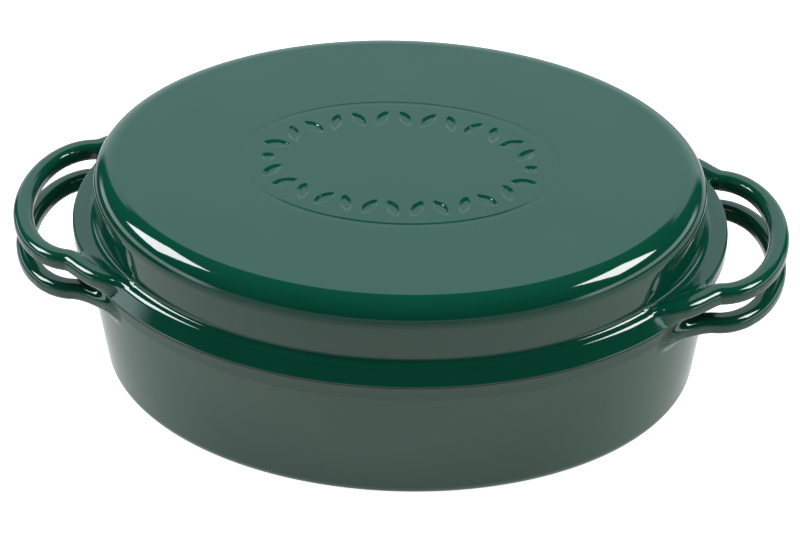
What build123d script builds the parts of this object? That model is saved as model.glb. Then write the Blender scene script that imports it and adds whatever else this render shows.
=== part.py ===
"""Oval covered casserole in enamelled cast iron: a pot and a deep lid, each cast in one with its two loops.

Frame: millimetres, +Z up, +X along the oval's long axis, origin on the centre of the base.
Each casting is lined with its own coat of matt black enamel, which also covers the rim land.
"""

import math
import os

from build123d import *

# ---- driving dimensions -------------------------------------------------------------------
rim_half_length = 175.0  # lid flange, the widest oval of the body
rim_half_width = 131.2
pot_height = 85.3  # iron of the pot, without the enamel on its rim
lid_height = 44.0  # lid from its rim to its plateau
wall = 4.6  # iron wall of pot and lid
floor = 5.0  # iron floor of the pot
lining = 0.4  # black enamel coat
seat_gap = 0.3  # daylight between the two black rims

# pot
rim_overhang = 5.5  # the lid flange stands out past the pot's rim band by this
band_height = 12.0  # plain band below the pot's rim
band_step = 0.7  # the band stands proud of the wall below it
draft_length = 9.0  # how far the wall leans in at the ends, from band to base
draft_width = 7.4  # the same at the sides
rim_land = 5.0  # width of the pot's rim, wall to mouth
rim_edge = 0.8  # the rims' outer corners are rounded by this
base_radius = 8.0
inner_base_radius = 12.0

# lid
flange_height = 10.2
flange_edge = 4.0  # rounded upper edge of the flange
flange_cove = 3.0  # hollow corner between flange and dome
shoulder_radius = 13.0
lip_depth = 3.5  # locating lip that drops into the pot's mouth
lip_end = 5.0  # thickness of the lip at the ends
lip_side = 2.1  # and at the sides; inside, the lip is flush with the dome
lip_clearance = 0.8

# loops, the same plan on pot and lid
loop_projection = 32.5  # how far a loop's tip stands out past the rim
loop_inset = 5.0  # the loop's own centre lies inside the rim by this
loop_half_width = 54.0
loop_bar = 10.8  # width of the bar, seen from above
loop_thickness = 10.0
loop_edge = 3.0
opening_edge = 2.0  # upper edge of the lid's finger openings
loop_drop = 8.0  # pot loop's top below the pot's rim
root_blend = 14.0  # outer root of a loop, in plan
root_corner = 3.0  # inner root

# emblem in the lid's plateau
emblem_depth = 0.6
ring_half_length = 85.4
ring_half_width = 54.2
ring_width = 2.6
leaf_half_length = 69.5
leaf_half_width = 39.2
leaf_count = 22
leaf_long = 5.6
leaf_wide = 2.3
leaf_tilt = 28.0
dot_radius = 2.2

# ---- sizes that follow -------------------------------------------------------------------
band_a = rim_half_length - rim_overhang
band_b = rim_half_width - rim_overhang
band_bottom = pot_height - band_height
base_a = band_a - draft_length
base_b = band_b - draft_width
mouth_a = band_a - rim_land
mouth_b = band_b - rim_land
bottom_a = base_a - wall
bottom_b = base_b - wall

lid_bottom = pot_height + 2 * lining + seat_gap
lid_top = lid_bottom - lining + lid_height
lip_a = mouth_a - lining - lip_clearance - lining
lip_b = mouth_b - lining - lip_clearance - lining
hollow_a = lip_a - lip_end
hollow_b = lip_b - lip_side
hollow_top = lid_top - wall
dome_a = hollow_a + wall
dome_b = hollow_b + wall
lip_bottom = lid_bottom - lip_depth
flange_top = lid_bottom + flange_height

loop_centre = rim_half_length - loop_inset
loop_a = loop_projection + loop_inset
opening_a = loop_a - loop_bar
opening_b = loop_half_width - loop_bar
pot_loop_top = pot_height - loop_drop
pot_loop_bottom = pot_loop_top - loop_thickness
shell_join = 0.6  # the loops' web stays this far inside the pot's outer face
loop_ends = ((loop_centre, 0), (-loop_centre, 0))
near = 0.01  # edges this close to a level lie on it


def wall_share(z):
    """How far up the leaning wall z is, from 0 at the base to 1 under the band."""
    return z / band_bottom


def loop_plan(plane, oval_a, oval_b):
    """An oval with a loop on each end, seen from above, with the finger openings cut."""
    with BuildSketch(plane, mode=Mode.PRIVATE) as openings:
        with Locations(*loop_ends):
            Ellipse(opening_a, opening_b)
        Ellipse(oval_a, oval_b, mode=Mode.SUBTRACT)
        fillet(openings.vertices().filter_by(lambda v: abs(v.Y) > root_corner), root_corner)
    with BuildSketch(plane, mode=Mode.PRIVATE) as plan:
        Ellipse(oval_a, oval_b)
        with Locations(*loop_ends):
            Ellipse(loop_a, loop_half_width)
        fillet(plan.vertices().filter_by(lambda v: abs(v.Y) > root_corner), root_blend)
    return plan.sketch - openings.sketch


def oval_block(z_low, z_high, a, b):
    """A straight oval block."""
    with BuildPart(mode=Mode.PRIVATE) as block:
        with BuildSketch(Plane.XY.offset(z_low)):
            Ellipse(a, b)
        extrude(amount=z_high - z_low)
    return block.part


def hollow(z_low, z_high, low, high, corner, at_top):
    """The space inside a casting between two ovals, with its closed end rounded."""
    with BuildPart(mode=Mode.PRIVATE) as space:
        with BuildSketch(Plane.XY.offset(z_low)):
            Ellipse(*low)
        with BuildSketch(Plane.XY.offset(z_high)):
            Ellipse(*high)
        loft()
        closed_end = space.edges().sort_by(Axis.Z)[-1 if at_top else 0]
        fillet(closed_end, corner)
    return space.part


# ---- pot ---------------------------------------------------------------------------------
# the web inside the wall that carries the loops stays within the narrowest oval it crosses
web_share = wall_share(pot_loop_bottom)
web_a = base_a + (draft_length - band_step) * web_share - shell_join
web_b = base_b + (draft_width - band_step) * web_share - shell_join

with BuildPart() as pot_loops:
    add(loop_plan(Plane.XY.offset(pot_loop_bottom), web_a, web_b))
    extrude(amount=loop_thickness)
    fillet(pot_loops.faces().sort_by(Axis.Z)[0].edges(), loop_edge)
    fillet(pot_loops.faces().sort_by(Axis.Z)[-1].edges(), loop_edge)

pot_space = hollow(
    floor, pot_height, (bottom_a, bottom_b), (mouth_a, mouth_b), inner_base_radius, False
)
pot_clear = hollow(
    floor + lining,
    pot_height + lining,
    (bottom_a - lining, bottom_b - lining),
    (mouth_a - lining, mouth_b - lining),
    inner_base_radius - lining,
    False,
)

with BuildPart() as pot_casting:
    with BuildSketch():
        Ellipse(base_a, base_b)
    with BuildSketch(Plane.XY.offset(band_bottom)):
        Ellipse(band_a - band_step, band_b - band_step)
    loft()
    fillet(pot_casting.edges().sort_by(Axis.Z)[0], base_radius)
    with BuildSketch(Plane.XY.offset(band_bottom)):
        Ellipse(band_a, band_b)
    extrude(amount=band_height)
    fillet(pot_casting.edges().sort_by(Axis.Z)[-1], rim_edge)
    add(pot_loops.part)
    add(pot_space, mode=Mode.SUBTRACT)

with BuildPart() as pot_lining:
    add(oval_block(pot_height, pot_height + lining, band_a - rim_edge, band_b - rim_edge))
    add(pot_space)
    add(pot_clear, mode=Mode.SUBTRACT)

# ---- lid ---------------------------------------------------------------------------------
inner_shoulder = shoulder_radius - wall
lid_space = hollow(
    lip_bottom, hollow_top, (hollow_a, hollow_b), (hollow_a, hollow_b), inner_shoulder, True
)
lid_clear = hollow(
    lip_bottom - lining,
    hollow_top - lining,
    (hollow_a - lining, hollow_b - lining),
    (hollow_a - lining, hollow_b - lining),
    inner_shoulder - lining,
    True,
)

with BuildPart() as lid_flange:
    add(loop_plan(Plane.XY.offset(lid_bottom), rim_half_length, rim_half_width))
    extrude(amount=flange_height)
    fillet(lid_flange.faces().sort_by(Axis.Z)[-1].outer_wire().edges(), flange_edge)
    for opening in lid_flange.faces().sort_by(Axis.Z)[-1].inner_wires():
        fillet(opening.edges(), opening_edge)
    fillet(lid_flange.faces().sort_by(Axis.Z)[0].edges(), rim_edge)

with BuildPart() as lid_casting:
    add(oval_block(lid_bottom, lid_top, dome_a, dome_b))
    fillet(lid_casting.edges().sort_by(Axis.Z)[-1], shoulder_radius)
    with BuildSketch(Plane.XY.offset(lid_top - emblem_depth)):
        Ellipse(ring_half_length, ring_half_width)
        Ellipse(ring_half_length - ring_width, ring_half_width - ring_width, mode=Mode.SUBTRACT)
        with Locations((leaf_half_length, 0), (-leaf_half_length, 0)):
            Circle(dot_radius)
        for side in (1, -1):
            for i in range(1, leaf_count // 2 + 1):
                turn = side * math.pi * i / (leaf_count // 2 + 1)
                along = math.atan2(
                    leaf_half_width * math.cos(turn), -leaf_half_length * math.sin(turn)
                )
                lean = leaf_tilt * (-1) ** i
                spot = (leaf_half_length * math.cos(turn), leaf_half_width * math.sin(turn))
                with Locations(Location(spot, math.degrees(along) + lean)):
                    Ellipse(leaf_long, leaf_wide)
    extrude(amount=emblem_depth, mode=Mode.SUBTRACT)
    add(lid_flange.part)
    level = lid_casting.edges().filter_by_position(Axis.Z, flange_top - near, flange_top + near)
    fillet(level.sort_by(SortBy.LENGTH)[-1], flange_cove)
    add(oval_block(lip_bottom, lid_bottom + lining, lip_a, lip_b))
    add(lid_space, mode=Mode.SUBTRACT)

with BuildPart() as lid_lining:
    add(lid_space)
    add(oval_block(lip_bottom - lining, lid_bottom, lip_a + lining, lip_b + lining))
    add(oval_block(
        lid_bottom - lining, lid_bottom, rim_half_length - rim_edge, rim_half_width - rim_edge
    ))
    add(lid_casting.part, mode=Mode.SUBTRACT)
    add(lid_clear, mode=Mode.SUBTRACT)

os.makedirs("parts", exist_ok=True)
pieces = {
    "pot_casting": pot_casting,
    "pot_lining": pot_lining,
    "lid_casting": lid_casting,
    "lid_lining": lid_lining,
}
for name, piece in pieces.items():
    piece.part.label = name
    export_step(piece.part, f"parts/{name}.step")
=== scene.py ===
"""Oval covered casserole in green enamelled cast iron: the two castings, their black coats and a studio.

Lengths are in metres, in the model's own frame: +Z up, +X through the loops, origin under the pot's base.
Each casting's skin is a coarse cage, subdivided once its loops are bridged in, and then settled onto the
exact surface, which is written as a distance: ovals, rounded corners and cast blends.
"""

import math

import bmesh
import bpy
import numpy as np
from bpy.props import FloatProperty, FloatVectorProperty, IntProperty, PointerProperty
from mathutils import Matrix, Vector


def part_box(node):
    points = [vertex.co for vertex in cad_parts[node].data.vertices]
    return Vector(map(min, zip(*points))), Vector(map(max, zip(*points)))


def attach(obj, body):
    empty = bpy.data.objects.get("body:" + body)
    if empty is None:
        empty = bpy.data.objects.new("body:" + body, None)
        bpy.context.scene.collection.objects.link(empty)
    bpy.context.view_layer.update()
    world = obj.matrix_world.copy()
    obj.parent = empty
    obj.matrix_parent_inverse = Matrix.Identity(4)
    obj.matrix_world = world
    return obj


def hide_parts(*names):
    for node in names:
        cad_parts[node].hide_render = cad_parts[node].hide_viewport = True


bl_info = {
    "name": "Covered casserole",
    "version": (1, 0, 0),
    "blender": (4, 5, 0),
    "location": "3D View > Sidebar > Casserole",
    "description": "Enamelled castings, black coats and a studio around the casserole's frame",
    "category": "Object",
}

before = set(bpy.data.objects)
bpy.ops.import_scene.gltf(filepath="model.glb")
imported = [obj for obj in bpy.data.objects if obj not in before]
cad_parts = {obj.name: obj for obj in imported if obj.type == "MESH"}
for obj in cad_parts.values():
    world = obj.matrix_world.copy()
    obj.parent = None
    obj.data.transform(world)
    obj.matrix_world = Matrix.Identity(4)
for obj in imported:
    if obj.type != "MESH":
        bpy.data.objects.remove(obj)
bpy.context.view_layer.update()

MM = 0.001
LID_IRON, LID_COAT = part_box("lid_casting"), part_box("lid_lining")
POT_IRON, POT_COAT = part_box("pot_casting"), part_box("pot_lining")
COAT = LID_IRON[0].z - LID_COAT[0].z  # thickness of the black coats
TIP = LID_IRON[1].x  # the loops' outermost point
RIM_EDGE = LID_IRON[1].y - LID_COAT[1].y  # the coats stop this far inside the castings' edges
RIM_A, RIM_B = LID_COAT[1].x + RIM_EDGE, LID_IRON[1].y
BAND_A, BAND_B = POT_COAT[1].x + RIM_EDGE, POT_IRON[1].y
POT_TOP, LID_TOP = POT_IRON[1].z, LID_IRON[1].z
FLOOR_TOP = POT_COAT[0].z
LIP_DEPTH = 3.5 * MM  # the lid's locating lip hangs this far below its rim
LID_RIM = LID_IRON[0].z + LIP_DEPTH
PLATE = (94 * MM, 62 * MM)  # half length and half width of the engraved part of the plateau

COLUMNS = 96  # cage columns around the oval
QUARTER = COLUMNS // 4
ROOT_FIRST, ROOT_LAST = 5, 9  # a loop's root takes the cage columns between these, in each quarter
LID_ROOT, POT_ROOT = (20.5, 34.5), (20, 29)  # degrees round the oval to the two sides of a root
LEVELS = 2  # subdivision of the cages
STATIONS = 11  # cage rings of a loop, from its root to its tip
ARC_STEPS, TAIL_STEPS = 60, 64  # pieces of a loop's middle line
SHELL_SIDES = 256  # corners round the black coats
SHARP = math.radians(35)  # edges sharper than this stay hard
WELD = 0.005 * MM  # points closer than this are one
SETTLED = 0.02 * MM  # points closer to the exact surface than this take its normals


# ---- settings -----------------------------------------------------------------------------
def length(name, text, default):
    """A size in metres, as a property."""
    return FloatProperty(name=name, description=text, default=default, unit="LENGTH", precision=5)


def colour(name, text, hex_code):
    """A colour as a property, stored in linear values."""
    return FloatVectorProperty(
        name=name, description=text, default=linear(hex_code), subtype="COLOR", size=3, min=0, max=1
    )


def linear(hex_code):
    """Linear red, green and blue of an sRGB hex colour."""
    shares = [int(hex_code[i : i + 2], 16) / 255 for i in (0, 2, 4)]
    return tuple(c / 12.92 if c <= 0.04045 else ((c + 0.055) / 1.055) ** 2.4 for c in shares)


class LidSizes(bpy.types.PropertyGroup):
    dome_inset_end: length("Dome inset, ends", "Flange edge to the dome's wall at the ends", 12.5 * MM)
    dome_inset_side: length("Dome inset, sides", "Flange edge to the dome's wall at the sides", 9.6 * MM)
    shoulder: length("Shoulder", "Radius between the dome's wall and its plateau", 13 * MM)
    lip_end: length("Lip, ends", "Thickness of the lip at the ends", 5.0 * MM)
    lip_side: length("Lip, sides", "Thickness of the lip at the sides", 2.1 * MM)
    wall: length("Wall", "Iron wall of the dome", 4.6 * MM)
    land_end: length("Land height, ends", "Flange's flat land above the rim at the ends", 9.1 * MM)
    land_side: length("Crest height, sides", "Flange's crest above the rim at the sides", 10.0 * MM)
    cove_end: length("Cove, ends", "Hollow corner between land and dome at the ends", 4.4 * MM)
    cove_side: length("Cove, sides", "The same corner at the sides", 2.9 * MM)
    crest: length("Crest", "Rounding of the flange's upper edge", 1.7 * MM)
    lower_edge: length("Lower edge", "Rounding of the flange's lower edge", 1.3 * MM)
    lean: FloatProperty(
        name="Skirt lean", description="Lean of the flange's skirt at the sides",
        default=math.radians(33.5), subtype="ANGLE",
    )
    lean_from: length("Lean starts", "The skirt is upright nearer to the long axis than this", 37 * MM)
    lean_full: length("Lean is full", "The skirt leans in full beyond this", 72 * MM)


class PotSizes(bpy.types.PropertyGroup):
    band: length("Rim band", "Height of the plain band below the rim", 12 * MM)
    step: length("Band step", "The band stands proud of the wall by this", 0.7 * MM)
    draft_end: length("Draft, ends", "The wall leans in by this from band to base", 9 * MM)
    draft_side: length("Draft, sides", "The same at the sides", 7.4 * MM)
    base_edge: length("Base edge", "Rounding of the base", 8 * MM)
    land: length("Rim land", "Width of the rim, wall to mouth", 5 * MM)
    rim_edge: length("Rim edge", "Rounding of the rim's outer corner", 0.8 * MM)
    wall: length("Wall", "Iron wall", 4.6 * MM)
    inner_edge: length("Inner base edge", "Rounding inside, between wall and floor", 12 * MM)


class LoopSizes(bpy.types.PropertyGroup):
    reach: length("Reach", "Loop's own centre to its tip", 37.5 * MM)
    half_width: length("Half width", "Half of the loop's width", 54 * MM)
    bar: length("Bar width", "Seen from above", 10.8 * MM)
    corner: length("Bar edge", "Rounding of the bar's four edges", 4.2 * MM)
    lid_bar_low: length("Lid bar low", "Underside of the lid's bar above the lid's rim", 0.5 * MM)
    lid_bar_high: length("Lid bar top", "Top of the lid's bar above the lid's rim", 10.7 * MM)
    pot_bar_drop: length("Pot bar drop", "Top of the pot's bar below the pot's rim", 8 * MM)
    pot_bar_height: length("Pot bar height", "Height of the pot's bar", 10 * MM)
    lid_blend: length("Lid blend", "Cast blend between the lid's bar and its flange", 3.2 * MM)
    pot_blend: length("Pot blend", "Cast blend between the pot's bar and its wall", 5.0 * MM)


class GarlandSizes(bpy.types.PropertyGroup):
    depth: length("Depth", "The emblem is sunk this deep", 0.7 * MM)
    groove_depth: length("Groove depth", "The enamel all but fills the oval groove", 0.1 * MM)
    soften: length("Softening", "Width of its enamel-filled edges", 1.2 * MM)
    groove_half_length: length("Groove half length", "Middle of the oval groove", 84.2 * MM)
    groove_half_width: length("Groove half width", "Middle of the oval groove", 53.0 * MM)
    groove_width: length("Groove width", "Across its bottom", 1.0 * MM)
    half_length: length("Garland half length", "Middle line of the leaves", 69.5 * MM)
    half_width: length("Garland half width", "Middle line of the leaves", 39.2 * MM)
    leaves: IntProperty(
        name="Leaves and dots", description="Leaves round the garland, dots included", default=28
    )
    leaf_half_length: length("Leaf half length", "Middle of a leaf to its point", 5.4 * MM)
    leaf_half_width: length("Leaf half width", "Half of a leaf's width", 1.9 * MM)
    leaf_lean: FloatProperty(
        name="Leaf lean", description="Leaves lean this far off the line, to alternate sides",
        default=math.radians(64), subtype="ANGLE",
    )
    dot: length("Dot", "Radius of the dot at each end", 1.9 * MM)


class FinishSettings(bpy.types.PropertyGroup):
    green: colour("Green", "Body colour of the gloss enamel", "033526")
    green_light: colour("Green, thin", "Where the gloss coat has run thinner", "053B2B")
    black: colour("Black", "Matt enamel inside and on the rims", "141515")
    floor: colour("Floor", "Studio floor", "B0B4B3")


class StudioSettings(bpy.types.PropertyGroup):
    azimuth: FloatProperty(
        name="Azimuth", description="The camera stands this far round from -Y, towards +X",
        default=math.radians(4.73), subtype="ANGLE",
    )
    elevation: FloatProperty(
        name="Elevation", description="Camera above the table", default=math.radians(39), subtype="ANGLE"
    )
    distance: length("Distance", "Camera to its target", 1.65)
    lens: FloatProperty(name="Lens", description="Focal length in millimetres", default=137.2)
    aim_height: length("Aim height", "The camera looks at this height", 59.7 * MM)


# ---- distances to surfaces ------------------------------------------------------------------
def oval_distance(points, half_length, half_width):
    """How far points lie outside an upright oval wall; negative inside."""
    x, y = points[:, 0], points[:, 1]
    ratio = np.hypot(x / half_length, y / half_width)
    slope = np.hypot(x / half_length**2, y / half_width**2)
    return ratio * (ratio - 1) / np.maximum(slope, 1e-9)


def rounded(one, other, radius):
    """The space inside both of two surfaces, with their outer corner rounded."""
    inside = np.minimum(-radius, np.maximum(one, other))
    return inside + np.hypot(np.maximum(one + radius, 0), np.maximum(other + radius, 0))


def blended(one, other, radius):
    """Two solids cast together, with a round fillet of that radius in the inner corner."""
    outside = np.maximum(radius, np.minimum(one, other))
    return outside - np.hypot(np.maximum(radius - one, 0), np.maximum(radius - other, 0))


def ramp(value, start, end):
    """0 up to the start, 1 past the end, smooth between."""
    share = np.clip((value - start) / (end - start), 0, 1)
    return share * share * (3 - 2 * share)


def ribbon_distance(points, line, widths):
    """Distance from a ribbon seen from above, whose width changes along its middle line."""
    x, y = points[:, 0], points[:, 1]
    nearest = np.full(len(points), np.inf)
    for start, end, wide, next_wide in zip(line, line[1:], widths, widths[1:]):
        along = end - start
        share = np.clip(((x - start[0]) * along[0] + (y - start[1]) * along[1]) / (along @ along), 0, 1)
        off = np.hypot(x - start[0] - share * along[0], y - start[1] - share * along[1])
        nearest = np.minimum(nearest, off - (wide + share * (next_wide - wide)) / 2)
    return nearest


def gradient(points, distance):
    """Direction in which the distance grows, by central differences."""
    reach = 0.1 * MM
    columns = []
    for axis in np.eye(3):
        columns.append(distance(points + axis * reach) - distance(points - axis * reach))
    return np.stack(columns, 1) / (2 * reach)


def settle(points, distance, rounds=6):
    """Moves points straight onto a surface."""
    longest_step = 3 * MM
    for _ in range(rounds):
        slope = gradient(points, distance)
        step = distance(points) / np.maximum((slope**2).sum(1), 1e-6)
        points = points - slope * np.clip(step, -longest_step, longest_step)[:, None]
    return points


# ---- loops ----------------------------------------------------------------------------------
def bezier(corners, steps):
    """A cubic curve through its first and last corner."""
    share = np.linspace(0, 1, steps + 1)[:, None]
    first, second, third, last = (np.array(corner) for corner in corners)
    rest = 1 - share
    return rest**3 * first + 3 * rest**2 * share * second + 3 * rest * share**2 * third + share**3 * last


class Loop:
    """One quarter of a loop seen from above: half of its ring, and the tail that runs into the body."""

    def __init__(self, sizes, low, high, tail_corners, tail_widths, blend, between):
        self.blend, self.between = blend, between  # between: shares of the way from skin to first ring
        self.centre = TIP - sizes.reach
        self.outer = (sizes.reach, sizes.half_width)
        self.inner = (sizes.reach - sizes.bar, sizes.half_width - sizes.bar)
        self.bar = sizes.bar
        self.corner = sizes.corner
        self.middle, self.half_height = (low + high) / 2, (high - low) / 2
        across = [(out + into) / 2 for out, into in zip(self.outer, self.inner)]
        turns = np.linspace(0, math.radians(88), ARC_STEPS)
        self.arc = np.stack([self.centre + across[0] * np.cos(turns), across[1] * np.sin(turns)], 1)
        tail = bezier((self.arc[-1],) + tail_corners, TAIL_STEPS)
        overlap = self.arc[-ARC_STEPS // 3 : -1]
        self.line = np.concatenate([self.arc, tail[1:]])
        self.ribbon = np.concatenate([overlap, tail])
        shares = np.linspace(0, 1, TAIL_STEPS + 1)
        widths = np.interp(shares, np.linspace(0, 1, len(tail_widths)), tail_widths)
        self.widths = np.concatenate([np.full(len(overlap), sizes.bar), widths])

    def distance(self, points):
        """How far points lie outside the bar."""
        quarter = np.abs(points)
        shifted = quarter - np.array([self.centre, 0, 0])
        ring = np.maximum(oval_distance(shifted, *self.outer), -oval_distance(shifted, *self.inner))
        ring = np.maximum(ring, self.centre + 1 * MM - quarter[:, 0])
        plan = np.minimum(ring, ribbon_distance(quarter, self.ribbon, self.widths))
        upright = np.abs(points[:, 2] - self.middle) - self.half_height
        return rounded(plan, upright, self.corner)

    def rings(self, corners):
        """Cage rings of the bar from its root to its tip, each starting at the inner end of its top."""
        run = np.concatenate([[0], np.cumsum(np.hypot(*np.diff(self.line, axis=0).T))])
        root = run[ARC_STEPS - 1] + 4 * MM
        made = []
        for place in np.linspace(root, 0, STATIONS):
            spot = np.array([np.interp(place, run, self.line[:, i]) for i in (0, 1)])
            ahead = np.array([np.interp(place + MM, run, self.line[:, i]) for i in (0, 1)]) - spot
            outward = np.array([ahead[1], -ahead[0]]) / np.hypot(*ahead)
            first = 90 + (ROOT_LAST - ROOT_FIRST) / 2 * 360 / corners
            turns = np.radians(first - 360 / corners * np.arange(corners))
            across = np.cos(turns) * self.bar / 2
            made.append(np.column_stack([
                spot[0] + outward[0] * across, spot[1] + outward[1] * across,
                self.middle + np.sin(turns) * self.half_height,
            ]))
        return made


# ---- cages ----------------------------------------------------------------------------------
def column_turns(root):
    """Angles of the cage's columns, with the loops' roots between two of them."""
    marks = np.interp(np.arange(QUARTER + 1), [0, ROOT_FIRST, ROOT_LAST, QUARTER], [0, *root, 90])
    half = np.concatenate([marks, 180 - marks[-2::-1]])
    return np.radians(np.concatenate([half, 360 - half[-2:0:-1]]))


def oval_rows(rows, turns):
    """Cage rows around the oval from (half length, half width, height) rows; values may vary by column."""
    grid = []
    for half_length, half_width, height in rows:
        level = np.broadcast_to(height, turns.shape)
        grid.append(np.stack([half_length * np.cos(turns), half_width * np.sin(turns), level], 1))
    return np.array(grid)


def root_outline(top, bottom, sign):
    """Grid places (row, column) round a root's hole: along its top, down, back and up again."""
    near, far = sign * ROOT_FIRST, sign * ROOT_LAST
    across = list(range(near, far + sign, sign))
    down = range(top + 1, bottom)
    places = [(top, c) for c in across] + [(row, far) for row in down]
    return places + [(bottom, c) for c in reversed(across)] + [(row, near) for row in reversed(down)]


def bridged_cage(grid, top, bottom, loop):
    """Vertices and faces of a skin whose loops grow out of it between two rows."""
    rows = len(grid)
    vertices = [tuple(v) for v in grid.reshape(-1, 3)]
    opened = set()
    for end in (0, COLUMNS // 2):
        for first in (ROOT_FIRST, -ROOT_LAST):
            opened.update((end + first + i) % COLUMNS for i in range(ROOT_LAST - ROOT_FIRST))
    faces = []
    for r in range(rows - 1):
        for c in range(COLUMNS):
            if top <= r < bottom and c in opened:
                continue
            here, below, after = r * COLUMNS, (r + 1) * COLUMNS, (c + 1) % COLUMNS
            faces.append((here + c, here + after, below + after, below + c))
    outline = root_outline(top, bottom, 1)
    hole = np.array([grid[place] for place in outline])
    half = loop.rings(len(outline))
    half = [hole + (half[0] - hole) * share for share in loop.between] + half
    whole = half + [ring * (1, -1, 1) for ring in half[-2::-1]]
    for side in (1, -1):
        ends = []
        for sign in (1, -1):
            places = root_outline(top, bottom, sign)
            turned = [(r, c if side > 0 else COLUMNS // 2 - c) for r, c in places]
            ends.append([r * COLUMNS + c % COLUMNS for r, c in turned])
        previous = ends[0]
        for ring in whole:
            current = list(range(len(vertices), len(vertices) + len(ring)))
            vertices += [tuple(v) for v in ring * (side, 1, 1)]
            faces += bridge(previous, current)
            previous = current
        faces += bridge(previous, ends[1])
    return vertices, faces


def bridge(one, other):
    """Quads between two closed rings of equal length."""
    count = len(one)
    return [(one[i], one[(i + 1) % count], other[(i + 1) % count], other[i]) for i in range(count)]


def subdivided(vertices, faces):
    """The cage's smooth surface, as an array of points and a list of faces."""
    used = sorted({v for face in faces for v in face})
    renumber = {old: new for new, old in enumerate(used)}
    cage = loose_object("cage", [vertices[v] for v in used], [[renumber[v] for v in face] for face in faces])
    smoother = cage.modifiers.new("subdivision", "SUBSURF")
    smoother.levels = smoother.render_levels = LEVELS
    return baked(cage)


def loose_object(name, vertices, faces):
    """A helper object in the scene, to carry a modifier."""
    mesh = bpy.data.meshes.new(name)
    mesh.from_pydata(vertices, [], faces)
    helper = bpy.data.objects.new(name, mesh)
    bpy.context.scene.collection.objects.link(helper)
    return helper


def baked(helper):
    """Points and faces of a helper object under its modifier; the object itself goes."""
    evaluated = helper.evaluated_get(bpy.context.evaluated_depsgraph_get())
    points, faces = mesh_arrays(bpy.data.meshes.new_from_object(evaluated))
    bpy.data.objects.remove(helper)
    return points, faces


def mesh_arrays(mesh):
    """Points and faces of a mesh."""
    points = np.zeros(len(mesh.vertices) * 3)
    mesh.vertices.foreach_get("co", points)
    return points.reshape(-1, 3), [tuple(p.vertices) for p in mesh.polygons]


def relaxed(points, faces, distance, loop, rounds=8):
    """Evens out the faces round the loops' roots, on the surface."""
    edges = np.array(sorted({tuple(sorted(pair)) for f in faces for pair in zip(f, f[1:] + f[:1])}))
    root = np.array([loop.arc[-1][0] - 5 * MM, loop.arc[-1][1], loop.middle])
    near = np.abs(np.abs(points) - root)
    pull = 0.5 * (1 - ramp(np.hypot(near[:, 0], near[:, 1]), 14 * MM, 22 * MM))
    pull *= 1 - ramp(near[:, 2], 9 * MM, 14 * MM)
    moving = pull > 0
    for _ in range(rounds):
        total, count = np.zeros_like(points), np.zeros(len(points))
        for one, other in (edges.T, edges.T[::-1]):
            np.add.at(total, one, points[other])
            np.add.at(count, one, 1)
        shift = (total / np.maximum(count, 1)[:, None] - points) * pull[:, None]
        points = points + shift
        points[moving] = settle(points[moving], distance, 2)
    return points


def open_loops(faces):
    """Closed chains of vertices along a mesh's open edges."""
    seen = {}
    for face in faces:
        for pair in zip(face, face[1:] + face[:1]):
            key = tuple(sorted(pair))
            seen[key] = seen.get(key, 0) + 1
    beside = {}
    for (one, other), uses in seen.items():
        if uses == 1:
            beside.setdefault(one, []).append(other)
            beside.setdefault(other, []).append(one)
    chains = []
    while beside:
        start = next(iter(beside))
        chain, here = [start], start
        while True:
            onward = [v for v in beside.pop(here) if v in beside]
            if not onward:
                break
            here = onward[0]
            chain.append(here)
        chains.append(chain)
    return chains


def finished_mesh(name, points, faces, distance=None, on_skin=None):
    """A closed, outward mesh; its skin's normals come from the exact surface."""
    mesh = bpy.data.meshes.new(name)
    mesh.from_pydata([tuple(v) for v in points], [], faces)
    work = bmesh.new()
    work.from_mesh(mesh)
    bmesh.ops.remove_doubles(work, verts=work.verts, dist=WELD)
    bmesh.ops.recalc_face_normals(work, faces=work.faces)
    work.to_mesh(mesh)
    work.free()
    mesh.shade_smooth()
    mesh.set_sharp_from_angle(angle=SHARP)
    if distance is not None:
        points, _ = mesh_arrays(mesh)
        skin = on_skin(points) & (np.abs(distance(points)) < SETTLED)
        slope = gradient(points[skin], distance)
        normals = np.zeros_like(points)  # a zero keeps the mesh's own normal
        normals[skin] = slope / np.linalg.norm(slope, axis=1)[:, None]
        mesh.normals_split_custom_set_from_vertices([tuple(n) for n in normals])
    return mesh


def oval_shell(rows, around):
    """Points and faces of an open shell from rows of (half length, half width, height)."""
    turns = np.linspace(0, 2 * math.pi, around, endpoint=False)
    points, faces = [], []
    for half_length, half_width, height in rows:
        points += [(half_length * c, half_width * s, height) for c, s in zip(np.cos(turns), np.sin(turns))]
    for start in range(0, (len(rows) - 1) * around, around):
        faces += bridge(range(start, start + around), range(start + around, start + 2 * around))
    return points, faces


def corner_rows(half_length, half_width, height, radius, turns):
    """Rows round a corner; a turn of 0 degrees is on the flat and 90 on the wall."""
    rows = []
    for turn in np.radians(turns):
        inset = radius * (1 - math.sin(turn))
        drop = radius * (1 - math.cos(turn))
        rows.append((half_length - inset, half_width - inset, height - drop))
    return rows


# ---- lid ------------------------------------------------------------------------------------
def lid_ovals(lid):
    """Half length and half width of the dome's wall, the lip and the hollow inside."""
    dome = (RIM_A - lid.dome_inset_end, RIM_B - lid.dome_inset_side)
    hollow = (dome[0] - lid.wall, dome[1] - lid.wall)
    lip = (hollow[0] + lid.lip_end, hollow[1] + lid.lip_side)
    return dome, lip, hollow


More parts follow.
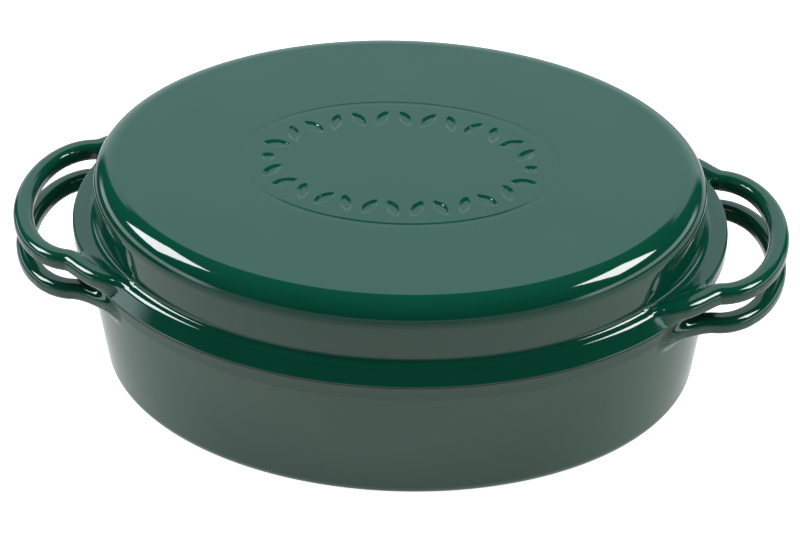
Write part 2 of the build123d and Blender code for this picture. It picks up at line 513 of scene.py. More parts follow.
def lid_skin(lid, loop):
    """The lid's outer surface as a distance."""
    dome_oval, _, _ = lid_ovals(lid)

    def distance(points):
        z = points[:, 2]
        side = ramp(np.abs(points[:, 1]), lid.lean_from, lid.lean_full)
        lean = lid.lean * side
        skirt = oval_distance(points, RIM_A, RIM_B) * np.cos(lean) + (z - LID_RIM) * np.sin(lean)
        land = LID_RIM + lid.land_end + (lid.land_side - lid.land_end) * side
        flange = rounded(skirt, z - land, lid.crest)
        dome = rounded(oval_distance(points, *dome_oval), z - LID_TOP, lid.shoulder)
        body = blended(flange, dome, lid.cove_end + (lid.cove_side - lid.cove_end) * side)
        # the loops are worked out only near their tails' ends and outwards
        reaches = np.abs(points[:, 0]) > loop.line[-1][0] - 8 * MM
        reaches &= z < LID_RIM + 25 * MM
        cast = np.array(body)
        cast[reaches] = blended(body[reaches], loop.distance(points[reaches]), loop.blend)
        return rounded(cast, LID_RIM - z, lid.lower_edge)

    return distance


def lid_rows(lid):
    """Cage rows of the lid's skin, from the engraved plate out and down to the rim's underside."""
    (dome_a, dome_b), _, _ = lid_ovals(lid)
    side = ramp(np.abs(RIM_B * np.sin(column_turns(LID_ROOT))), lid.lean_from, lid.lean_full)

    def both(end, front):
        return end + (front - end) * side

    rows = [(*PLATE, LID_TOP)]
    for inset in (45 * MM, 28 * MM, 19 * MM, 14.5 * MM):
        rows.append((dome_a - inset, dome_b - inset * 0.95, LID_TOP))
    rows += corner_rows(dome_a, dome_b, LID_TOP, lid.shoulder, (0, 22, 45, 68, 90))
    rows += [(dome_a, dome_b, LID_TOP - drop) for drop in (19 * MM, 25 * MM)]
    foot = LID_RIM + both(lid.land_end, lid.land_side)
    cove = both(lid.cove_end, lid.cove_side)
    # down the cove, in shares of its radius, then over the crest and down the skirt, in millimetres
    for out, up in ((0, 1.05), (0.08, 0.6), (0.3, 0.3), (0.62, 0.08)):
        rows.append((dome_a + out * cove, dome_b + out * cove, foot + up * cove))
    lean = both(0, math.tan(lid.lean))
    for end, front, below in ((3.2, 0.6, 0), (1.9, 0.2, 0.05), (0.9, 0.05, 0.5), (0.2, 0, 1.5)):
        pulled = both(end, front) * MM + lean * (foot - below * MM - LID_RIM)
        rows.append((RIM_A - pulled, RIM_B - pulled, foot - below * MM))
    for inset, above in ((0, 5), (0, 2.2), (0.3, 0.5), (1.2, 0)):
        pulled = inset * MM + lean * above * MM
        rows.append((RIM_A - pulled, RIM_B - pulled, LID_RIM + above * MM))
    rows.append((RIM_A - 4 * MM, RIM_B - 4 * MM, LID_RIM))
    return rows


def inner_rows(points, chain, rows):
    """More rows from a chain of rim points, each on an oval of its own at the same angles."""
    ring = points[chain]
    added = []
    for half_length, half_width, height in rows:
        turn = np.arctan2(ring[:, 1] / RIM_B, ring[:, 0] / RIM_A)
        level = np.full(len(ring), height)
        added.append(np.stack([half_length * np.cos(turn), half_width * np.sin(turn), level], 1))
    return added


def capped(points, faces, chain, rows):
    """Closes a skin inwards through the given rows, with a flat face across the last."""
    previous = chain
    for ring in inner_rows(points, chain, rows):
        current = list(range(len(points), len(points) + len(ring)))
        points = np.concatenate([points, ring])
        faces = faces + bridge(previous, current)
        previous = current
    centre = len(points)
    points = np.concatenate([points, [[0, 0, rows[-1][2]]]])
    count = len(previous)
    return points, faces + [(previous[i], previous[(i + 1) % count], centre) for i in range(count)]


def engraved_plate(points, chain, sizes, finish):
    """The middle of the plateau, from its outline inwards, with the emblem sunk into it."""
    ring = points[chain]
    order = np.argsort(np.arctan2(ring[:, 1], ring[:, 0]))
    ring = ring[order]
    fine = np.empty((2 * len(ring), 3))
    fine[::2] = ring
    fine[1::2] = (ring + np.roll(ring, -1, 0)) / 2
    flat = np.array([1, 1, 0])
    lift = np.array([0, 0, LID_TOP])
    # rings at these shares of the outline, with twice the corners where the emblem lies
    rings = [ring, ring * flat * 0.97 + lift]
    rings += [fine * flat * share + lift for share in np.linspace(0.95, 0.52, 46)]
    rings += [ring * flat * share + lift for share in (0.50, 0.44, 0.34, 0.2)]
    vertices, faces, starts = [], [], []
    for one in rings:
        starts.append(len(vertices))
        vertices += [tuple(v) for v in one]
    for index in range(len(rings) - 1):
        a, b = starts[index], starts[index + 1]
        m, n = len(rings[index]), len(rings[index + 1])
        if m == n:
            faces += bridge(range(a, a + m), range(b, b + n))
            continue
        coarse, dense, count = (a, b, m) if m < n else (b, a, n)
        for i in range(count):
            after = (i + 1) % count
            mid, end = dense + 2 * i + 1, dense + 2 * after
            faces += [
                (coarse + i, mid, dense + 2 * i), (coarse + i, coarse + after, mid),
                (coarse + after, end, mid),
            ]
    centre = len(vertices)
    vertices.append((0, 0, LID_TOP))
    last = starts[-1]
    count = len(rings[-1])
    faces += [(last + i, last + (i + 1) % count, centre) for i in range(count)]
    plate = loose_object("plate", vertices, faces)
    garland = plate.modifiers.new("garland", "NODES")
    garland.node_group = garland_tree()
    values = {
        "Material": finish, "Height": LID_TOP, "Depth": sizes.depth,
        "Groove depth": sizes.groove_depth, "Softening": sizes.soften,
        "Groove half length": sizes.groove_half_length, "Groove half width": sizes.groove_half_width,
        "Groove width": sizes.groove_width, "Half length": sizes.half_length,
        "Half width": sizes.half_width, "Count": sizes.leaves, "Leaf half length": sizes.leaf_half_length,
        "Leaf half width": sizes.leaf_half_width, "Leaf lean": sizes.leaf_lean, "Dot radius": sizes.dot,
    }
    for item in garland.node_group.interface.items_tree:
        if item.name in values and item.in_out == "INPUT":
            garland[item.identifier] = values[item.name]
    return baked(plate)


def add_node(tree, kind, inputs=None, **settings):
    """Adds a node; an input takes a value or another node's output."""
    node = tree.nodes.new(kind)
    for name, value in settings.items():
        setattr(node, name, value)
    for key, value in (inputs or {}).items():
        if isinstance(value, bpy.types.NodeSocket):
            tree.links.new(value, node.inputs[key])
        else:
            node.inputs[key].default_value = value
    return node


def garland_tree():
    """Geometry nodes: a garland of small leaves with two dots inside an oval groove, sunk into a plate."""
    tree = bpy.data.node_groups.new("garland", "GeometryNodeTree")
    tree.interface.new_socket(name="Geometry", in_out="INPUT", socket_type="NodeSocketGeometry")
    for name in (
        "Height", "Depth", "Groove depth", "Softening", "Groove half length", "Groove half width",
        "Groove width", "Half length", "Half width", "Leaf half length", "Leaf half width", "Leaf lean",
        "Dot radius",
    ):
        tree.interface.new_socket(name=name, in_out="INPUT", socket_type="NodeSocketFloat")
    tree.interface.new_socket(name="Count", in_out="INPUT", socket_type="NodeSocketInt")
    tree.interface.new_socket(name="Material", in_out="INPUT", socket_type="NodeSocketMaterial")
    tree.interface.new_socket(name="Geometry", in_out="OUTPUT", socket_type="NodeSocketGeometry")
    given = add_node(tree, "NodeGroupInput").outputs

    def maths(operation, *values):
        return add_node(tree, "ShaderNodeMath", dict(enumerate(values)), operation=operation).outputs[0]

    def oval(half_length, half_width):
        ring = add_node(tree, "GeometryNodeCurvePrimitiveCircle", {"Resolution": 360, "Radius": 1.0})
        size = add_node(tree, "ShaderNodeCombineXYZ", {"X": half_length, "Y": half_width, "Z": 1.0})
        place = add_node(tree, "ShaderNodeCombineXYZ", {"Z": given["Height"]})
        return add_node(tree, "GeometryNodeTransform", {
            "Geometry": ring.outputs["Curve"], "Scale": size.outputs[0], "Translation": place.outputs[0],
        }).outputs[0]

    # a leaf is a strip whose edges bow out between its two points
    leaf_length = maths("MULTIPLY", given["Leaf half length"], 2.0)
    strip = add_node(tree, "GeometryNodeMeshGrid", {
        "Size X": leaf_length, "Size Y": 2.0, "Vertices X": 17, "Vertices Y": 3,
    })
    position = add_node(tree, "GeometryNodeInputPosition").outputs[0]
    place = add_node(tree, "ShaderNodeSeparateXYZ", {0: position})
    along = maths("DIVIDE", place.outputs["X"], given["Leaf half length"])
    bow = maths("SUBTRACT", 1.0, maths("MULTIPLY", along, along))
    across = maths("MULTIPLY", maths("MULTIPLY", place.outputs["Y"], given["Leaf half width"]), bow)
    bowed = add_node(tree, "ShaderNodeCombineXYZ", {"X": place.outputs["X"], "Y": across})
    leaf = add_node(tree, "GeometryNodeSetPosition", {
        "Geometry": strip.outputs["Mesh"], "Position": bowed.outputs[0],
    })
    dot = add_node(
        tree, "GeometryNodeMeshCircle", {"Vertices": 24, "Radius": given["Dot radius"]}, fill_type="NGON"
    )

    # every place along the line takes a leaf, but its first and its middle one take a dot
    line = add_node(tree, "GeometryNodeResampleCurve", {
        "Curve": oval(given["Half length"], given["Half width"]), "Count": given["Count"],
    })
    index = add_node(tree, "GeometryNodeInputIndex").outputs[0]
    half = maths("DIVIDE", given["Count"], 2.0)
    is_dot = maths("LESS_THAN", maths("MODULO", index, half), 0.5)
    is_leaf = maths("SUBTRACT", 1.0, is_dot)
    along_line = add_node(tree, "GeometryNodeInputTangent").outputs[0]
    tangent = add_node(tree, "ShaderNodeSeparateXYZ", {0: along_line})
    heading = maths("ARCTAN2", tangent.outputs["Y"], tangent.outputs["X"])
    swing = maths("SUBTRACT", 1.0, maths("MULTIPLY", maths("MODULO", index, 2.0), 2.0))
    turn = maths("ADD", heading, maths("MULTIPLY", swing, given["Leaf lean"]))
    turned = add_node(tree, "ShaderNodeCombineXYZ", {"Z": turn})
    leaves = add_node(tree, "GeometryNodeInstanceOnPoints", {
        "Points": line.outputs[0], "Selection": is_leaf, "Instance": leaf.outputs[0],
        "Rotation": turned.outputs[0],
    })
    dots = add_node(tree, "GeometryNodeInstanceOnPoints", {
        "Points": line.outputs[0], "Selection": is_dot, "Instance": dot.outputs[0],
    })
    prints = add_node(tree, "GeometryNodeJoinGeometry")
    for made in (leaves, dots):
        tree.links.new(made.outputs[0], prints.inputs[0])
    footprint = add_node(tree, "GeometryNodeRealizeInstances", {0: prints.outputs[0]})

    # the plate sinks under the footprints and the groove, with soft edges where enamel fills the corner
    def sunk(target, element, half_width, depth):
        near = add_node(tree, "GeometryNodeProximity", {0: target}, target_element=element)
        edge = maths("ADD", half_width, given["Softening"])
        return add_node(tree, "ShaderNodeMapRange", {
            "Value": near.outputs["Distance"], "From Min": half_width, "From Max": edge,
            "To Min": depth, "To Max": 0.0,
        }, interpolation_type="SMOOTHSTEP").outputs[0]

    groove = add_node(tree, "GeometryNodeCurveToMesh", {
        "Curve": oval(given["Groove half length"], given["Groove half width"]),
    })
    groove_half = maths("DIVIDE", given["Groove width"], 2.0)
    leaf_sink = sunk(footprint.outputs[0], "FACES", 0.0, given["Depth"])
    groove_sink = sunk(groove.outputs[0], "EDGES", groove_half, given["Groove depth"])
    deepest = maths("MAXIMUM", leaf_sink, groove_sink)
    down = add_node(tree, "ShaderNodeCombineXYZ", {"Z": maths("MULTIPLY", deepest, -1.0)})
    engraved = add_node(tree, "GeometryNodeSetPosition", {
        "Geometry": given["Geometry"], "Offset": down.outputs[0],
    })
    whole = add_node(tree, "GeometryNodeRealizeInstances", {0: engraved.outputs[0]})
    finished = add_node(tree, "GeometryNodeSetMaterial", {
        "Geometry": whole.outputs[0], "Material": given["Material"],
    })
    add_node(tree, "NodeGroupOutput", {0: finished.outputs[0]})
    return tree


def lid_casting_mesh(scene, finish):
    """The lid's iron: dome, flange, loops and emblem outside, hollow and lip inside."""
    lid = scene.casserole_lid
    loop = lid_loop(scene)
    rows = lid_rows(lid)
    # the loops grow out of the flange's edge, between its land and the last row above its underside
    hole_top, hole_bottom = len(rows) - 9, len(rows) - 2
    grid = oval_rows(rows, column_turns(LID_ROOT))
    vertices, faces = bridged_cage(grid, hole_top, hole_bottom, loop)
    points, faces = subdivided(vertices, faces)
    distance = lid_skin(lid, loop)
    points = settle(points, distance)
    points = relaxed(points, faces, distance, loop)
    plate_edge, rim = sorted(open_loops(faces), key=lambda chain: -points[chain[0]][2])
    engraved, plate_faces = engraved_plate(points, plate_edge, scene.casserole_garland, finish)
    _, lip, hollow = lid_ovals(lid)
    ceiling = LID_TOP - lid.wall
    lip_bottom = LID_IRON[0].z
    inside = [(*lip, LID_RIM), (*lip, lip_bottom), (*hollow, lip_bottom), (*hollow, LID_RIM + 10 * MM)]
    inside += corner_rows(*hollow, ceiling, lid.shoulder - lid.wall, (90, 60, 30, 0))
    inside.append((80 * MM, 50 * MM, ceiling))
    points, faces = capped(points, faces, rim, inside)
    faces = faces + [tuple(v + len(points) for v in face) for face in plate_faces]
    points = np.concatenate([points, engraved])

    def on_skin(places):
        plate = np.hypot(places[:, 0] / PLATE[0], places[:, 1] / PLATE[1]) < 0.99
        under = places[:, 2] < LID_RIM + 0.05 * MM
        inner = oval_distance(places, RIM_A - 5 * MM, RIM_B - 5 * MM) < 0
        return ~(plate & (places[:, 2] > LID_TOP - 2 * MM)) & ~(under & inner)

    return finished_mesh("lid_casting_enamel", points, faces, distance, on_skin)


def lid_loop(scene):
    """The lid's loop; its tails lie on the flange and end at the dome's foot."""
    sizes = scene.casserole_loops
    tail = ((164 * MM, 50.5 * MM), (157 * MM, 64 * MM), (132 * MM, 71.5 * MM))
    widths = (sizes.bar, 11.0 * MM, 11.4 * MM, 11.2 * MM, 8.0 * MM, 1.5 * MM)
    low, high = LID_RIM + sizes.lid_bar_low, LID_RIM + sizes.lid_bar_high
    return Loop(sizes, low, high, tail, widths, sizes.lid_blend, (0.36, 0.7))


def lid_coat_mesh(scene):
    """The black coat over the lid's inside, its lip and its rim."""
    lid = scene.casserole_lid
    _, lip, hollow = lid_ovals(lid)
    bare = lid.shoulder - lid.wall
    ceiling = LID_TOP - lid.wall
    rim = LID_COAT[1]
    low, lip_bottom = LID_RIM - COAT, LID_IRON[0].z
    face = (hollow[0] - COAT, hollow[1] - COAT)
    outer_lip = (lip[0] + COAT, lip[1] + COAT)
    rows = [(60 * MM, 38 * MM, ceiling - COAT), (120 * MM, 82 * MM, ceiling - COAT)]
    rows += corner_rows(*face, ceiling - COAT, bare - COAT, range(0, 91, 9))
    rows += [(*face, 100 * MM), (*face, lip_bottom)]
    rows += [(*hollow, lip_bottom - COAT), (*lip, lip_bottom - COAT), (*outer_lip, lip_bottom)]
    rows += [(*outer_lip, low), (rim.x, rim.y, low), (rim.x, rim.y, LID_RIM), (*lip, LID_RIM)]
    rows += [(*lip, lip_bottom), (*hollow, lip_bottom)]
    rows += corner_rows(*hollow, ceiling, bare, range(90, -1, -9))
    rows += [(120 * MM, 82 * MM, ceiling), (60 * MM, 38 * MM, ceiling)]
    return capped_shell("lid_coat_enamel", rows)


def capped_shell(name, rows):
    """A shell whose first and last rows are both closed across the middle."""
    around, last = SHELL_SIDES, (len(rows) - 1) * SHELL_SIDES
    points, faces = oval_shell(rows, around)
    points = np.array(points)
    for start, row in ((0, rows[0]), (last, rows[-1])):
        centre = len(points)
        points = np.concatenate([points, [[0, 0, row[2]]]])
        faces += [(start + i, start + (i + 1) % around, centre) for i in range(around)]
    return finished_mesh(name, points, faces)


# ---- pot ------------------------------------------------------------------------------------
def pot_loop(scene):
    """The pot's loop; its tails dive into the wall."""
    sizes = scene.casserole_loops
    tail = ((163 * MM, 48 * MM), (156 * MM, 52.5 * MM), (144 * MM, 60 * MM))
    widths = (sizes.bar, sizes.bar)
    high = POT_TOP - sizes.pot_bar_drop
    return Loop(sizes, high - sizes.pot_bar_height, high, tail, widths, sizes.pot_blend, (0.5,))


def pot_wall(pot, z):
    """Half length and half width of the leaning wall at a height."""
    share = z / (POT_TOP - pot.band)
    end = BAND_A - pot.draft_end + (pot.draft_end - pot.step) * share
    side = BAND_B - pot.draft_side + (pot.draft_side - pot.step) * share
    return end, side


def pot_inside(pot):
    """Half length and half width of the space inside the iron, at the floor and at the mouth."""
    foot = pot_wall(pot, 0)
    floor = (foot[0] - pot.wall, foot[1] - pot.wall)
    mouth = (BAND_A - pot.land, BAND_B - pot.land)
    return floor, mouth


def pot_skin(pot, loop):
    """The pot's outer surface as a distance."""
    band_low = POT_TOP - pot.band
    step_edge = 0.35 * MM

    def distance(points):
        z = points[:, 2]
        wall = rounded(oval_distance(points, *pot_wall(pot, z)), -z, pot.base_edge)
        band = rounded(oval_distance(points, BAND_A, BAND_B), band_low - z, step_edge)
        body = blended(wall, band, step_edge)
        cast = np.array(body)
        # the loops are worked out only near the ends of the pot
        reaches = (np.abs(points[:, 0]) > 135 * MM) & (z > 50 * MM)
        cast[reaches] = blended(body[reaches], loop.distance(points[reaches]), loop.blend)
        return rounded(cast, z - POT_TOP, pot.rim_edge)

    return distance


def pot_rows(pot):
    """Cage rows of the pot's skin, from the rim's top down and under to the middle of the base."""
    band_low = POT_TOP - pot.band
    # over the rim and down the band to its step, in millimetres; then down the wall
    rows = [(BAND_A - inset * MM, BAND_B - inset * MM, POT_TOP - below * MM)
            for inset, below in ((2.5, 0), (0.9, 0), (0.25, 0.25), (0, 0.9), (0, 3.4))]
    rows += [(BAND_A, BAND_B, band_low + above * MM) for above in (5.2, 2.6, 0.8, 0.15)]
    levels = [band_low - below * MM for below in (0.3, 2, 4.4, 7)]
    levels += [level * MM for level in (64, 56, 44, 32, 20, 12)]
    rows += [(*pot_wall(pot, level), level) for level in levels]
    foot = pot_wall(pot, 0)
    for turn in np.radians((85, 60, 35, 5)):
        inset = pot.base_edge * (1 - math.sin(turn))
        rise = pot.base_edge * (1 - math.cos(turn))
        rows.append((foot[0] - inset, foot[1] - inset, rise))
    rows += [(foot[0] - inset * MM, foot[1] - inset * 0.9 * MM, 0) for inset in (12, 40)]
    return rows


def pot_casting_mesh(scene):
    """The pot's iron: wall, rim band, base and loops outside, hollow inside."""
    pot = scene.casserole_pot
    loop = pot_loop(scene)
    # the loops grow out of the band's lower part and the wall below it
    hole_top, hole_bottom = 5, 12
    grid = oval_rows(pot_rows(pot), column_turns(POT_ROOT))
    vertices, faces = bridged_cage(grid, hole_top, hole_bottom, loop)
    points, faces = subdivided(vertices, faces)
    distance = pot_skin(pot, loop)
    points = settle(points, distance)
    points = relaxed(points, faces, distance, loop)
    rim, base = sorted(open_loops(faces), key=lambda chain: -points[chain[0]][2])
    foot = pot_wall(pot, 0)
    points, faces = capped(points, faces, base, [(foot[0] - 80 * MM, foot[1] - 72 * MM, 0)])
    floor, mouth = pot_inside(pot)
    inside = [(*mouth, POT_TOP)]
    inside += [leaning(floor, mouth, level) for level in (60 * MM, 40 * MM)]
    inside += leaning_corner(floor, mouth, pot.inner_edge)
    inside.append((90 * MM, 60 * MM, FLOOR_TOP))
    points, faces = capped(points, faces, rim, inside)

    def on_skin(places):
        rim = oval_distance(places, BAND_A - 2 * MM, BAND_B - 2 * MM) > 0
        return (places[:, 2] < POT_TOP - 0.01 * MM) | rim

    return finished_mesh("pot_casting_enamel", points, faces, distance, on_skin)


def leaning(floor, mouth, level):
    """A row of the pot's inner wall, which leans from floor to mouth."""
    share = (level - FLOOR_TOP) / (POT_TOP - FLOOR_TOP)
    return tuple(low + (high - low) * share for low, high in zip(floor, mouth)) + (level,)


def leaning_corner(floor, mouth, radius, rows=8, lift=0.0):
    """Rows round the corner between the pot's inner wall and its floor, from the wall down."""
    made = []
    for turn in np.radians(np.linspace(90, 0, rows)):
        level = FLOOR_TOP + lift + radius * (1 - math.cos(turn))
        end, side, _ = leaning(floor, mouth, level)
        inset = radius * (1 - math.sin(turn))
        made.append((end - inset, side - inset, level))
    return made


def pot_coat_mesh(scene):
    """The black coat over the pot's inside and its rim."""
    pot = scene.casserole_pot
    floor, mouth = pot_inside(pot)
    coat_floor = (floor[0] - COAT, floor[1] - COAT)
    coat_mouth = (mouth[0] - COAT, mouth[1] - COAT)
    rim = POT_COAT[1]
    turns = 14
    rows = [(60 * MM, 38 * MM, FLOOR_TOP + COAT), (110 * MM, 75 * MM, FLOOR_TOP + COAT)]
    rows += leaning_corner(coat_floor, coat_mouth, pot.inner_edge - COAT, turns, COAT)[::-1]
    rows += [leaning(coat_floor, coat_mouth, 50 * MM), (*coat_mouth, POT_TOP + COAT)]
    rows += [(rim.x, rim.y, POT_TOP + COAT), (rim.x, rim.y, POT_TOP), (*mouth, POT_TOP)]
    rows += [leaning(floor, mouth, 50 * MM)] + leaning_corner(floor, mouth, pot.inner_edge, turns)
    rows += [(110 * MM, 75 * MM, FLOOR_TOP), (60 * MM, 38 * MM, FLOOR_TOP)]
    return capped_shell("pot_coat_enamel", rows)


# ---- finishes -------------------------------------------------------------------------------
def new_material(name):
    """An empty material with its shader, object coordinates in metres and output."""
    material = bpy.data.materials.new(name)
    material.use_nodes = True
    tree = material.node_tree
    tree.nodes.clear()
    shader = add_node(tree, "ShaderNodeBsdfPrincipled")
    add_node(tree, "ShaderNodeOutputMaterial", {"Surface": shader.outputs[0]})
    place = add_node(tree, "ShaderNodeTexCoord").outputs["Object"]
    return material, tree, shader, place


def noise(tree, place, grain, detail=2.0):
    """Noise whose grains are about that many metres wide."""
    return add_node(
        tree, "ShaderNodeTexNoise", {"Vector": place, "Scale": 1 / grain, "Detail": detail}
    ).outputs[0]


def gloss_enamel(finish):
    """Vitreous enamel, sprayed and fired on cast iron.

    Glass over a deep green ground: a hard, clear reflection, a faint orange peel from the spray about
    6 mm across, and a ground that shows a touch lighter where the glaze has run thin.
    """
    material, tree, shader, place = new_material("gloss_vitreous_enamel_green")
    tone = add_node(tree, "ShaderNodeMix", {
        "Factor": noise(tree, place, 45 * MM, 3.0), "A": (*finish.green, 1), "B": (*finish.green_light, 1),
    }, data_type="RGBA")
    tree.links.new(colour_output(tone), shader.inputs["Base Color"])
    shine = add_node(tree, "ShaderNodeMapRange", {
        "Value": noise(tree, place, 8 * MM), "To Min": 0.035, "To Max": 0.075,
    })
    tree.links.new(shine.outputs[0], shader.inputs["Roughness"])
    peel = add_node(tree, "ShaderNodeBump", {
        "Height": noise(tree, place, 6 * MM, 1.0), "Strength": 0.10, "Distance": 0.1 * MM,
    })
    tree.links.new(peel.outputs[0], shader.inputs["Normal"])
    shader.inputs["IOR"].default_value = 1.52
    return material


def colour_output(node):
    """The colour output of a colour Mix node."""
    return next(socket for socket in node.outputs if socket.type == "RGBA")


def matt_enamel(finish):
    """Matt black enamel fired over a rough ground: a fine pebbled grain of 0.8 mm, with a dull sheen."""
    material, tree, shader, place = new_material("matt_vitreous_enamel_black")
    shader.inputs["Base Color"].default_value = (*finish.black, 1)
    dull = add_node(tree, "ShaderNodeMapRange", {
        "Value": noise(tree, place, 12 * MM), "To Min": 0.42, "To Max": 0.58,
    })
    tree.links.new(dull.outputs[0], shader.inputs["Roughness"])
    grain = add_node(tree, "ShaderNodeBump", {
        "Height": noise(tree, place, 0.8 * MM, 3.0), "Strength": 0.5, "Distance": 0.06 * MM,
    })
    tree.links.new(grain.outputs[0], shader.inputs["Normal"])
    shader.inputs["IOR"].default_value = 1.5
    return material


def studio_floor(finish):
    """Matt white paper: plain, with no shine, and white to the camera, with a painted glow near the pot: its
    own emission, fading away from the pot, which also lights the pot from below.
    """
    material, tree, shader, place = new_material("white_paper_sweep")
    shader.inputs["Base Color"].default_value = (*finish.floor, 1)
    shader.inputs["Roughness"].default_value = 1.0
    shader.inputs["Specular IOR Level"].default_value = 0.0
    far = add_node(tree, "ShaderNodeVectorMath", {0: place}, operation="LENGTH").outputs["Value"]
    # painted glow: the paper emits light of its own, strongest near the pot and fading outwards; no lamp
    # lies under it
    painted_glow = add_node(tree, "ShaderNodeMapRange", {
        "Value": far, "From Min": GLOW_NEAR, "From Max": GLOW_FAR, "To Min": GLOW_STRENGTH, "To Max": 0.0,
    }, interpolation_type="SMOOTHSTEP").outputs[0]
    direct = add_node(tree, "ShaderNodeLightPath").outputs["Is Camera Ray"]
    seen = add_node(tree, "ShaderNodeMath", {0: direct, 1: painted_glow}, operation="MAXIMUM").outputs[0]
    shader.inputs["Emission Color"].default_value = (1, 1, 1, 1)
    tree.links.new(seen, shader.inputs["Emission Strength"])
    return material


# ---- studio values --------------------------------------------------------------------------
FLOOR_LEFT, FLOOR_RIGHT, FLOOR_DEEP = -0.56, 0.95, 4.0  # the paper's edges, front and back alike
GLOW_NEAR, GLOW_FAR, GLOW_STRENGTH = 0.12, 0.5, 0.5  # painted glow: the paper's own emission fades out between these distances from the middle
# directions are given by their share sideways, backwards or upwards
SWEEP_TOP = math.sin(math.radians(43))  # upper edge of the white sweep behind the pot
SWEEP_LEFT, SWEEP_RIGHT = -0.84, 0.70  # its sides, as sideways over backwards
FRONT_TOP = math.sin(math.radians(11))  # the pale wall in front is low
SIDE_START, SIDE_TOP = (0.74, 0.86), (0.24, 0.17)  # the bright strips left and right fade between these
SWEEP_BRIGHT, FRONT_BRIGHT, SIDE_BRIGHT, STUDIO_DIM = 1.3, 0.6, 3.0, 0.03
STUDIO_TINT = (0.78, 0.93, 1.0, 1)  # a cool white
# name, azimuth and elevation seen from the pot in degrees (azimuth 0 is +X, 90 is +Y), distance,
# width, height, power in watts, colour, and whether the gloss shows it
LIGHTS = (
    ("softbox_left", 178, 42, 2.0, 0.72, 0.86, 34, (0.97, 0.99, 1), True),
    ("softbox_right", -3, 45, 2.0, 0.72, 0.76, 32, (1, 0.985, 0.96), True),
    ("overhead", 90, 80, 2.4, 2.4, 2.0, 52, (1, 1, 1), False),
)


# ---- operators ------------------------------------------------------------------------------
def place_piece(mesh, material, body, node):
    """Puts a finished mesh in the scene for a node of the frame."""
    mesh.materials.clear()
    mesh.materials.append(material)
    piece = bpy.data.objects.new(mesh.name, mesh)
    bpy.context.scene.collection.objects.link(piece)
    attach(piece, body)
    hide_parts(node)


class CASSEROLE_OT_lid_casting(bpy.types.Operator):
    """Build the lid's casting with its loops and emblem"""

    bl_idname = "casserole.lid_casting"
    bl_label = "Lid casting"

    def execute(self, context):
        material = gloss_enamel(context.scene.casserole_finish)
        mesh = lid_casting_mesh(context.scene, material)
        place_piece(mesh, material, "lid", "lid_casting")
        return {"FINISHED"}


class CASSEROLE_OT_pot_casting(bpy.types.Operator):
    """Build the pot's casting with its loops"""

    bl_idname = "casserole.pot_casting"
    bl_label = "Pot casting"

    def execute(self, context):
        material = bpy.data.materials.get("gloss_vitreous_enamel_green")
        material = material or gloss_enamel(context.scene.casserole_finish)
        place_piece(pot_casting_mesh(context.scene), material, "pot", "pot_casting")
        return {"FINISHED"}


class CASSEROLE_OT_coats(bpy.types.Operator):
    """Build the matt black coats inside the lid and the pot"""

    bl_idname = "casserole.coats"
    bl_label = "Black coats"

    def execute(self, context):
        material = matt_enamel(context.scene.casserole_finish)
        place_piece(lid_coat_mesh(context.scene), material, "lid", "lid_lining")
        place_piece(pot_coat_mesh(context.scene), material, "pot", "pot_lining")
        return {"FINISHED"}


class CASSEROLE_OT_studio(bpy.types.Operator):
    """Set up the floor, the lights and the camera"""

    bl_idname = "casserole.studio"
    bl_label = "Studio"

    def execute(self, context):
        scene = context.scene
        lay_floor(scene)
        light_world(scene)
        for light in LIGHTS:
            hang_light(scene, *light)
        aim_camera(scene)
        scene.view_settings.view_transform = "Standard"
        return {"FINISHED"}


def lay_floor(scene):
    """A white table top: close on the left and right, deep in front and behind."""
    mesh = bpy.data.meshes.new("floor")
    corners = [
        (FLOOR_LEFT, -FLOOR_DEEP, 0), (FLOOR_RIGHT, -FLOOR_DEEP, 0),
        (FLOOR_RIGHT, FLOOR_DEEP, 0), (FLOOR_LEFT, FLOOR_DEEP, 0),
    ]
    mesh.from_pydata(corners, [], [(0, 1, 2, 3)])
    floor = bpy.data.objects.new("floor", mesh)
    scene.collection.objects.link(floor)
    floor.data.materials.append(studio_floor(scene.casserole_finish))


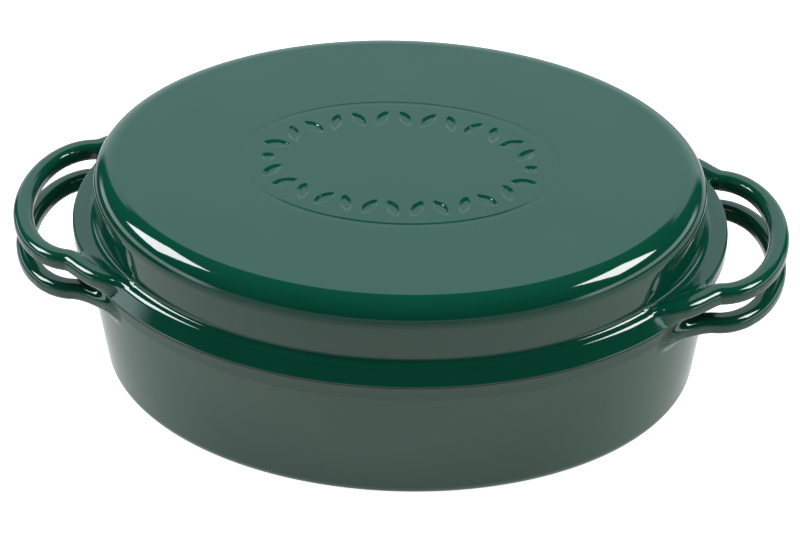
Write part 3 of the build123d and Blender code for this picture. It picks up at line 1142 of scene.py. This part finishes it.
def light_world(scene):
    """What the gloss mirrors: a white sweep behind, a low pale wall in front, bright strips at the sides."""
    world = bpy.data.worlds.new("studio")
    scene.world = world
    world.use_nodes = True
    tree = world.node_tree
    tree.nodes.clear()
    look = add_node(tree, "ShaderNodeTexCoord").outputs["Generated"]
    across, ahead, up = add_node(tree, "ShaderNodeSeparateXYZ", {0: look}).outputs

    def fade(value, start, end):
        return add_node(tree, "ShaderNodeMapRange", {
            "Value": value, "From Min": start, "From Max": end,
        }, interpolation_type="SMOOTHSTEP").outputs[0]

    def maths(operation, one, other):
        return add_node(tree, "ShaderNodeMath", {0: one, 1: other}, operation=operation).outputs[0]

    aside = maths("DIVIDE", across, maths("MAXIMUM", ahead, 0.001))
    sweep = maths("MULTIPLY", fade(up, SWEEP_TOP + 0.02, SWEEP_TOP - 0.02), fade(up, -0.3, -0.1))
    sweep = maths("MULTIPLY", sweep, fade(aside, SWEEP_RIGHT + 0.1, SWEEP_RIGHT - 0.1))
    sweep = maths("MULTIPLY", sweep, fade(aside, SWEEP_LEFT - 0.1, SWEEP_LEFT + 0.1))
    sweep = maths("MULTIPLY", sweep, fade(ahead, 0.0, 0.1))
    front = maths("MULTIPLY", fade(up, FRONT_TOP + 0.03, FRONT_TOP - 0.03), fade(ahead, -0.3, -0.5))
    side = maths("MULTIPLY", fade(maths("ABSOLUTE", across, 0.0), *SIDE_START), fade(up, *SIDE_TOP))
    side = maths("MULTIPLY", side, fade(up, -0.02, 0.02))
    lit = maths("ADD", maths("MULTIPLY", sweep, SWEEP_BRIGHT), maths("MULTIPLY", front, FRONT_BRIGHT))
    lit = maths("ADD", lit, maths("MULTIPLY", side, SIDE_BRIGHT))
    seen = maths("ADD", lit, STUDIO_DIM)
    studio = add_node(tree, "ShaderNodeBackground", {"Color": STUDIO_TINT, "Strength": seen})
    plain = add_node(tree, "ShaderNodeBackground", {"Color": (1, 1, 1, 1), "Strength": 1.0})
    direct = add_node(tree, "ShaderNodeLightPath").outputs["Is Camera Ray"]
    either = add_node(tree, "ShaderNodeMixShader", {0: direct, 1: studio.outputs[0], 2: plain.outputs[0]})
    add_node(tree, "ShaderNodeOutputWorld", {"Surface": either.outputs[0]})


def hang_light(scene, name, azimuth, elevation, distance, width, height, power, tint, shows):
    """A rectangular softbox turned to the pot."""
    lamp = bpy.data.lights.new(name, "AREA")
    lamp.shape = "RECTANGLE"
    lamp.size, lamp.size_y = width, height
    lamp.energy = power
    lamp.color = tint
    light = bpy.data.objects.new(name, lamp)
    flat, up = math.radians(azimuth), math.radians(elevation)
    middle = Vector((0, 0, 0.1))
    way = Vector((math.cos(flat) * math.cos(up), math.sin(flat) * math.cos(up), math.sin(up)))
    light.location = middle + way * distance
    light.rotation_euler = way.to_track_quat("Z", "Y").to_euler()
    light.visible_glossy = shows
    light.visible_camera = False
    scene.collection.objects.link(light)


def aim_camera(scene):
    """The camera: level, from above, a few degrees round from the front."""
    studio = scene.casserole_studio
    lens = bpy.data.cameras.new("camera")
    lens.lens = studio.lens
    lens.sensor_width = 36
    camera = bpy.data.objects.new("camera", lens)
    ahead, up = math.cos(studio.elevation), math.sin(studio.elevation)
    way = Vector((math.sin(studio.azimuth) * ahead, -math.cos(studio.azimuth) * ahead, up))
    camera.location = Vector((0.4 * MM, 0, studio.aim_height)) + way * studio.distance
    camera.rotation_euler = way.to_track_quat("Z", "Y").to_euler()
    scene.collection.objects.link(camera)
    scene.camera = camera


class CASSEROLE_PT_panel(bpy.types.Panel):
    """Sizes, finishes and build steps of the casserole"""

    bl_idname = "CASSEROLE_PT_panel"
    bl_label = "Covered casserole"
    bl_space_type = "VIEW_3D"
    bl_region_type = "UI"
    bl_category = "Casserole"

    def draw(self, context):
        for operator in OPERATORS:
            self.layout.operator(operator.bl_idname)
        for name in GROUPS:
            box = self.layout.box()
            group = getattr(context.scene, name)
            for key in type(group).__annotations__:
                box.prop(group, key)


GROUPS = {
    "casserole_lid": LidSizes,
    "casserole_pot": PotSizes,
    "casserole_loops": LoopSizes,
    "casserole_garland": GarlandSizes,
    "casserole_finish": FinishSettings,
    "casserole_studio": StudioSettings,
}
OPERATORS = (
    CASSEROLE_OT_lid_casting, CASSEROLE_OT_pot_casting, CASSEROLE_OT_coats, CASSEROLE_OT_studio
)


def register():
    for group in GROUPS.values():
        bpy.utils.register_class(group)
    for operator in OPERATORS:
        bpy.utils.register_class(operator)
    bpy.utils.register_class(CASSEROLE_PT_panel)
    for name, group in GROUPS.items():
        setattr(bpy.types.Scene, name, PointerProperty(type=group))


def unregister():
    for name in GROUPS:
        delattr(bpy.types.Scene, name)
    bpy.utils.unregister_class(CASSEROLE_PT_panel)
    for operator in reversed(OPERATORS):
        bpy.utils.unregister_class(operator)
    for group in reversed(list(GROUPS.values())):
        bpy.utils.unregister_class(group)


def main():
    register()
    bpy.ops.casserole.lid_casting()
    bpy.ops.casserole.pot_casting()
    bpy.ops.casserole.coats()
    bpy.ops.casserole.studio()
    bpy.context.view_layer.update()


if __name__ == "__main__":
    main()
